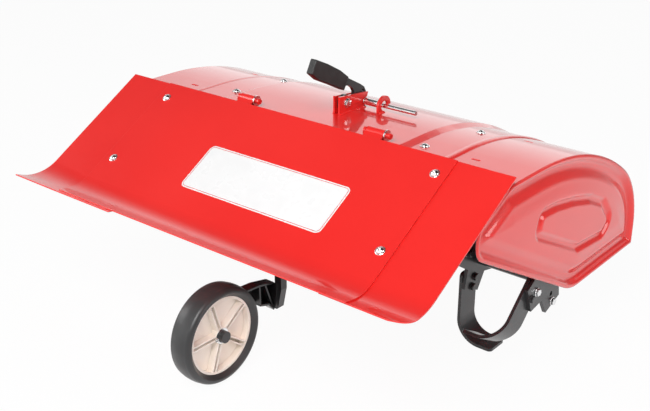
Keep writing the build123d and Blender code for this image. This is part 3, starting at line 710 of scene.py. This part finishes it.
start = Vector((label["x"], *flapBolts["topEdge"])) + downSlope * label["downSlope"]
spot, normal = seatOn("flap_centre", start + Vector((0, 0, flapBolts["above"])), (0, 0, -1))
labelBase = Matrix.Translation(spot) @ Matrix((
    (1, 0, normal.x), (0, -downSlope.y, normal.y), (0, -downSlope.z, normal.z)
)).to_4x4()


def addPlate(mesh, loop, low, high, where):
    bottom = [mesh.verts.new(where @ (point + Vector((0, 0, low)))) for point in loop]
    top = [mesh.verts.new(where @ (point + Vector((0, 0, high)))) for point in loop]
    mesh.faces.new(bottom[::-1])
    mesh.faces.new(top)
    for step in range(len(loop)):
        after = (step + 1) % len(loop)
        mesh.faces.new((bottom[step], bottom[after], top[after], top[step]))


mesh = bmesh.new()
edge = roundedLoop(label["width"], label["height"], label["corner"])
addPlate(mesh, edge, label["under"], label["film"], labelBase)
makePiece("label_plate", mesh, "flap", "red_paint", labelWhite)
mesh = bmesh.new()
outer, inner = (
    roundedLoop(label["width"] - 2 * inset, label["height"] - 2 * inset, label["corner"] - inset)
    for inset in (label["lineFrom"], label["lineFrom"] + label["lineWidth"])
)
levels = []
film, top = label["film"], label["lineTop"]
for loop, height in ((outer, film), (outer, top), (inner, top), (inner, film)):
    levels.append([mesh.verts.new(labelBase @ (point + Vector((0, 0, height)))) for point in loop])
for low, high in zip(levels, levels[1:] + levels[:1]):
    for step in range(len(low)):
        after = (step + 1) % len(low)
        mesh.faces.new((low[step], low[after], high[after], high[step]))
makePiece("label_line", mesh, "flap", "red_paint")
print("label laid")

# hexagon bolts through the flanges and the tines
rotor = {
    "y": 0.085,
    "z": 0.1894,
    "flanges": (0.142, 0.303, 0.464),
    "flangeHalf": 0.004,
    "lugs": (200, 247.5, 200),
    "outward": ((1, 1, 1, 1), (1, 1, 1, 1), (1, 0, 1, 0)),  # which lugs carry a tine
    "holes": (0.05, 0.072),
    "tine": 0.007,
    "head": 0.0145,
    "headHeight": 0.0058,
    "nutHeight": 0.0075,
    "headSunk": 0.001,
    "washer": 0.0092,
    "washerHeight": 0.0012,
    "stud": 0.0045,
    "studFrom": 0.006,
    "studLength": 0.0105,
    "studTip": 0.0115,
    "studTaper": 0.8,
    "twist": 40,  # no two heads stand at the same angle
    "nutTwist": 0.7,
}
stud = [(0, rotor["studFrom"]), (rotor["stud"], rotor["studFrom"]), (rotor["stud"], rotor["studLength"])]
stud += [(rotor["stud"] * rotor["studTaper"], rotor["studTip"]), (0, rotor["studTip"])]
painted, plated = bmesh.new(), bmesh.new()
lastRow = len(rotor["flanges"]) - 1
for row, flangeX in enumerate(rotor["flanges"]):
    for side in (-1, 1):
        for lug in range(4):
            angle = math.radians(rotor["lugs"][row] + 90 * lug)
            carried = rotor["outward"][row][lug]
            for radius in rotor["holes"] if carried else rotor["holes"][1:]:
                y = rotor["y"] + radius * math.cos(angle)
                z = rotor["z"] + radius * math.sin(angle)
                outerFace = Vector((side * (flangeX + rotor["flangeHalf"]), y, z))
                innerX = flangeX - rotor["flangeHalf"] - (rotor["tine"] if carried else 0)
                innerFace = Vector((side * innerX, y, z))
                twist = radius * rotor["twist"] + lug + row
                # bright in the last row only, on bare lugs and at the inner holes
                bright = row == lastRow and (not carried or radius == rotor["holes"][0])
                mesh = plated if bright else painted
                head = placeAt(outerFace, (side, 0, 0))
                addWasher(mesh, rotor["washer"], rotor["washerHeight"], 20, head)
                head = head @ Matrix.Translation((0, 0, rotor["headSunk"]))
                addHex(mesh, rotor["head"], rotor["headHeight"], head, twist)
                nut = placeAt(innerFace, (-side, 0, 0))
                addHex(mesh, rotor["head"], rotor["nutHeight"], nut, twist * rotor["nutTwist"])
                addTurned(mesh, stud, 12, nut)
makePiece("tine_bolts", painted, "rotor", "dark_steel")
makePiece("outer_tine_bolts", plated, "rotor", "zinc_plate")
print("tine bolts set")

# nuts of the lever's pivot
lever = {
    "x": 0.0233,
    "pivotY": -0.0286,
    "pivotZ": 0.4956,
    "bracketHalf": 0.0087,
    "washer": 0.0105,
    "washerBore": 0.0061,
    "washerHeight": 0.0014,
    "nut": 0.0150,
    "nutHeight": 0.0035,
    "nutTwist": 0.3,
}
mesh = bmesh.new()
for side in (-1, 1):
    x = lever["x"] + side * lever["bracketHalf"]
    where = placeAt((x, lever["pivotY"], lever["pivotZ"]), (side, 0, 0))
    addWasher(mesh, lever["washer"], lever["washerHeight"], 26, where, lever["washerBore"])
    where = where @ Matrix.Translation((0, 0, lever["washerHeight"]))
    addHex(mesh, lever["nut"], lever["nutHeight"], where, lever["nutTwist"])
makePiece("pivot_nuts", mesh, "frame", "zinc_plate")

# red peened ends over the hinge pins
hinge = {
    "y": -0.123,
    "z": 0.4885,
    "pinEnds": (-0.1265, 0.2155),
    "pin": 0.005,
    "cap": 0.0066,
    "capBack": 0.0055,  # the cap starts this far behind the pin's end
    "capLip": 0.0005,
    "capHeight": 0.0035,
    "crown": 0.72,
    "crownHeight": 0.0016,
    "peak": 0.002,
}
cap, height = hinge["cap"], hinge["capHeight"]
profile = [(hinge["pin"], 0), (cap, hinge["capLip"]), (cap, height)]
profile += [(cap * hinge["crown"], height + hinge["crownHeight"]), (0, height + hinge["peak"])]
mesh = bmesh.new()
for end in hinge["pinEnds"]:
    addTurned(mesh, profile, 24, placeAt((end - hinge["capBack"], hinge["y"], hinge["z"]), (1, 0, 0)))
makePiece("hinge_pin_caps", mesh, "frame", "red_paint")

# collars on the lock rod, and a slight ring near its free end
lock = {
    "y": 0.0304,
    "z": 0.4856,
    "x": 0.1655,
    "radius": 0.00475,
    "collar": 0.00782,
    "collarAt": (0.0345, 0.0695),
    "collarSpan": (-0.001, 0.0012),
    "endGap": 0.0003,
    "endSpan": (0.0002, 0.0028, 0.003),
    "endFlare": 1.06,
}
radius, collar = lock["radius"], lock["collar"]
back, front = lock["collarSpan"]
mesh = bmesh.new()
for x in lock["collarAt"]:
    where = placeAt((x, lock["y"], lock["z"]), (1, 0, 0))
    addTurned(mesh, [(radius, back), (collar, back), (collar, front), (radius, front)], 24, where)
start, flared, end = lock["endSpan"]
where = placeAt((lock["x"] - lock["endGap"], lock["y"], lock["z"]), (-1, 0, 0))
addTurned(mesh, [(0, start), (radius, start), (radius * lock["endFlare"], flared), (0, end)], 20, where)
makePiece("lock_rod_trim", mesh, "frame", "zinc_plate")
print("hinge and lever hardware set")

# weld beads on the hood
welds = {
    "bead": 0.0021,
    "sunk": 0.25,
    "above": 0.6,
    "ripple": (0.18, 1.9),  # share of the bead, and step along it
    "fineRipple": (0.07, 4.3),
    "earX": ((-0.1865, -0.1805), (0.1515, 0.1575)),
    "earY": (-0.1315, -0.1145),
    "earSeed": 50,
    "earPoints": 7,
    "bracketGap": 0.0005,
    "bracketY": (-0.052, 0.033),
    "bracketSeed": 2.0,
    "bracketPoints": 26,
    "guideX": 0.0862,
    "guideY": (0.0105, 0.0290),
    "guideSeed": 1.3,
    "guidePoints": 9,
}


def beadWobble(seed):
    share, step = welds["ripple"]
    fineShare, fineStep = welds["fineRipple"]
    return lambda index: (
        1 + share * math.sin(index * step + seed) + fineShare * math.sin(index * fineStep + seed * 2)
    )


def beadOnHood(mesh, start, end, seed, count):
    points = []
    for step in range(count):
        share = step / (count - 1)
        x = start[0] + (end[0] - start[0]) * share
        y = start[1] + (end[1] - start[1]) * share
        spot, normal = seatOn("hood_centre", (x, y, welds["above"]), (0, 0, -1))
        points.append(spot + normal * welds["bead"] * welds["sunk"])
    addTube(mesh, points, welds["bead"], 8, beadWobble(seed))


mesh = bmesh.new()
for first, last in welds["earX"]:
    for y in welds["earY"]:
        beadOnHood(mesh, (first, y), (last, y), first * welds["earSeed"], welds["earPoints"])
back, front = welds["bracketY"]
for side in (-1, 1):
    x = lever["x"] + side * (lever["bracketHalf"] + welds["bracketGap"])
    beadOnHood(mesh, (x, back), (x, front), side + welds["bracketSeed"], welds["bracketPoints"])
x = welds["guideX"]
back, front = welds["guideY"]
beadOnHood(mesh, (x, back), (x, front), welds["guideSeed"], welds["guidePoints"])
makePiece("weld_beads", mesh, "frame", "red_paint")
print("welds laid")

# washer and split pin that keep the wheel on its axle
wheel = {
    "y": -0.405,
    "z": 0.104,
    "washerFrom": 0.0191,
    "washer": 0.0168,
    "washerBore": 0.0072,
    "washerHeight": 0.0008,
    "wire": 0.0011,
    "pinX": 0.0212,
    "pinRise": 0.0003,  # the wire climbs by this much a step
    "pinRadius": 0.0136,
    "pinFrom": 200,
    "pinStep": 17,
    "pinPoints": 9,
    "eyeRadius": 0.0036,
    "eyeAt": (-0.0165, -0.0022),
    "eyeSteps": 12,
}
mesh = bmesh.new()
where = placeAt((wheel["washerFrom"], wheel["y"], wheel["z"]), (1, 0, 0))
addWasher(mesh, wheel["washer"], wheel["washerHeight"], 32, where, wheel["washerBore"])
bent = []
for step in range(wheel["pinPoints"]):
    angle = math.radians(wheel["pinFrom"] + wheel["pinStep"] * step)
    y, z = wheel["pinRadius"] * math.cos(angle), wheel["pinRadius"] * math.sin(angle)
    bent.append(Vector((wheel["pinX"] + wheel["pinRise"] * step, wheel["y"] + y, wheel["z"] + z)))
addTube(mesh, bent, wheel["wire"], 8)
eye = []
for step in range(wheel["eyeSteps"] + 1):
    angle = 2 * math.pi * step / wheel["eyeSteps"]
    y = wheel["eyeAt"][0] + wheel["eyeRadius"] * math.cos(angle)
    z = wheel["eyeAt"][1] + wheel["eyeRadius"] * math.sin(angle)
    eye.append(Vector((wheel["pinX"], wheel["y"] + y, wheel["z"] + z)))
addTube(mesh, eye, wheel["wire"], 8)
makePiece("axle_washer_and_pin", mesh, "wheel_leg", "zinc_plate")
print("wheel trim set")

# bolts of the drive neck, and the drain plug under the gear case
drive = {
    "z": 0.2474,
    "neckFace": 0.161,
    "bolts": ((-0.029, -0.037), (0.029, -0.037), (-0.029, 0.037), (0.029, 0.037)),
    "washer": 0.0085,
    "washerHeight": 0.0012,
    "head": 0.013,
    "headHeight": 0.0055,
    "twist": 30,
    "plugAt": (0.085, 0.13),
    "plugWasher": 0.0105,
    "plugWasherHeight": 0.0016,
    "plug": 0.014,
    "plugHeight": 0.006,
    "plugTwist": 0.2,
}
mesh = bmesh.new()
for x, up in drive["bolts"]:
    where = placeAt((x, drive["neckFace"], drive["z"] + up), (0, 1, 0))
    addWasher(mesh, drive["washer"], drive["washerHeight"], 20, where)
    where = where @ Matrix.Translation((0, 0, drive["washerHeight"]))
    addHex(mesh, drive["head"], drive["headHeight"], where, up * drive["twist"])
where = placeAt((0, *drive["plugAt"]), (0, 0, -1))
addWasher(mesh, drive["plugWasher"], drive["plugWasherHeight"], 24, where)
where = where @ Matrix.Translation((0, 0, drive["plugWasherHeight"]))
addHex(mesh, drive["plug"], drive["plugHeight"], where, drive["plugTwist"])
makePiece("drive_bolts", mesh, "frame", "zinc_plate")
print("drive bolts set")

# pale floor, soft boxes and a white background
studio = {
    "floor": 0.9,
    "floorHalf": 15,
    "floorRough": 0.9,
    "floorShine": 0.95,  # share of plain white that the eye gets from the floor
    "paperWay": (1, 0.4, 0),
    "paperEdge": (1.28, 1.7),  # along that way the floor fades from reflections
    "floorMirrored": 0.8,  # the same share in reflections
    "farMirrored": 0.06,
    "low": 1.25,  # near the horizon
    "high": 0.12,  # overhead
    "rise": (0.42, 0.66),
    "side": 0.35,  # share that is left towards the far left
    "sideFrom": (-0.84, -0.7),
    "right": 0.16,  # and towards the right
    "rightFrom": (-0.22, 0.05),
    "aim": 0.25,  # height that the soft boxes look at
}
floorData = bmesh.new()
half = studio["floorHalf"]
corners = []
for x, y in ((-half, -half), (half, -half), (half, half), (-half, half)):
    corners.append(floorData.verts.new((x, y, 0)))
floorData.faces.new(corners)
floorMesh = bpy.data.meshes.new("floor")
floorData.to_mesh(floorMesh)
floorData.free()
floor = bpy.data.objects.new("floor", floorMesh)
bpy.context.scene.collection.objects.link(floor)
mat, nodes, links, shader = newMaterial("floorPaper")
shader.inputs["Base Color"].default_value = (studio["floor"], studio["floor"], studio["floor"], 1)
shader.inputs["Roughness"].default_value = studio["floorRough"]
shine = nodes.new("ShaderNodeEmission")
mix = nodes.new("ShaderNodeMixShader")
path = nodes.new("ShaderNodeLightPath")
seen = nodes.new("ShaderNodeMath")
seen.operation = "MAXIMUM"
shown = remap(nodes, links, path.outputs["Is Camera Ray"], 0, 1, 0, studio["floorShine"])
links.new(shown, seen.inputs[0])
spot = nodes.new("ShaderNodeNewGeometry")
reach = nodes.new("ShaderNodeVectorMath")
reach.operation = "DOT_PRODUCT"
reach.inputs[1].default_value = studio["paperWay"]
links.new(spot.outputs["Position"], reach.inputs[0])
shares = studio["floorMirrored"], studio["farMirrored"]
near = remap(nodes, links, reach.outputs["Value"], *studio["paperEdge"], *shares)
mirrored = nodes.new("ShaderNodeMath")
mirrored.operation = "MULTIPLY"
links.new(near, mirrored.inputs[0])
links.new(path.outputs["Is Glossy Ray"], mirrored.inputs[1])
links.new(mirrored.outputs[0], seen.inputs[1])
links.new(seen.outputs[0], mix.inputs["Fac"])
links.new(shader.outputs[0], mix.inputs[1])
links.new(shine.outputs[0], mix.inputs[2])
links.new(mix.outputs[0], nodes["Material Output"].inputs["Surface"])
floorMesh.materials.append(mat)

world = bpy.data.worlds.new("world")
bpy.context.scene.world = world
world.use_nodes = True
nodes, links = world.node_tree.nodes, world.node_tree.links
plain = nodes["Background"]
coords = nodes.new("ShaderNodeTexCoord")
split = nodes.new("ShaderNodeSeparateXYZ")
links.new(coords.outputs["Generated"], split.inputs[0])
level = remap(nodes, links, split.outputs["Z"], *studio["rise"], studio["low"], studio["high"])
aside = remap(nodes, links, split.outputs["X"], *studio["sideFrom"], studio["side"], 1)
toRight = remap(nodes, links, split.outputs["X"], *studio["rightFrom"], 1, studio["right"])
for part in (aside, toRight):
    strength = nodes.new("ShaderNodeMath")
    strength.operation = "MULTIPLY"
    links.new(level, strength.inputs[0])
    links.new(part, strength.inputs[1])
    level = strength.outputs[0]
links.new(level, plain.inputs["Strength"])
plain.inputs["Color"].default_value = (1, 1, 1, 1)
whiteBack = nodes.new("ShaderNodeBackground")
whiteBack.inputs["Color"].default_value = (1, 1, 1, 1)
mix = nodes.new("ShaderNodeMixShader")
path = nodes.new("ShaderNodeLightPath")
links.new(path.outputs["Is Camera Ray"], mix.inputs["Fac"])
links.new(plain.outputs[0], mix.inputs[1])
links.new(whiteBack.outputs[0], mix.inputs[2])
links.new(mix.outputs[0], nodes["World Output"].inputs["Surface"])

softBoxes = {
    "key": {"place": (0.9, -2.3, 2.5), "size": (1.8, 1.6), "power": 88},
    "rightFill": {"place": (3.0, 0.4, 1.3), "size": (1.6, 1.4), "power": 29},
    "backFill": {"place": (0.6, 3.2, 1.9), "size": (2.6, 1.0), "power": 5},
    "leftFill": {"place": (-2.6, -1.6, 1.6), "size": (1.6, 1.4), "power": 22},
}
for name, box in softBoxes.items():
    data = bpy.data.lights.new(name, "AREA")
    data.shape = "RECTANGLE"
    data.size, data.size_y = box["size"]
    data.energy = box["power"]
    lamp = bpy.data.objects.new(name, data)
    lamp.location = box["place"]
    aim = Vector((0, 0, studio["aim"])) - Vector(box["place"])
    lamp.rotation_mode = "QUATERNION"
    lamp.rotation_quaternion = aim.to_track_quat("-Z", "Y")
    bpy.context.scene.collection.objects.link(lamp)
bpy.context.scene.view_settings.view_transform = "Standard"
print("studio lit")
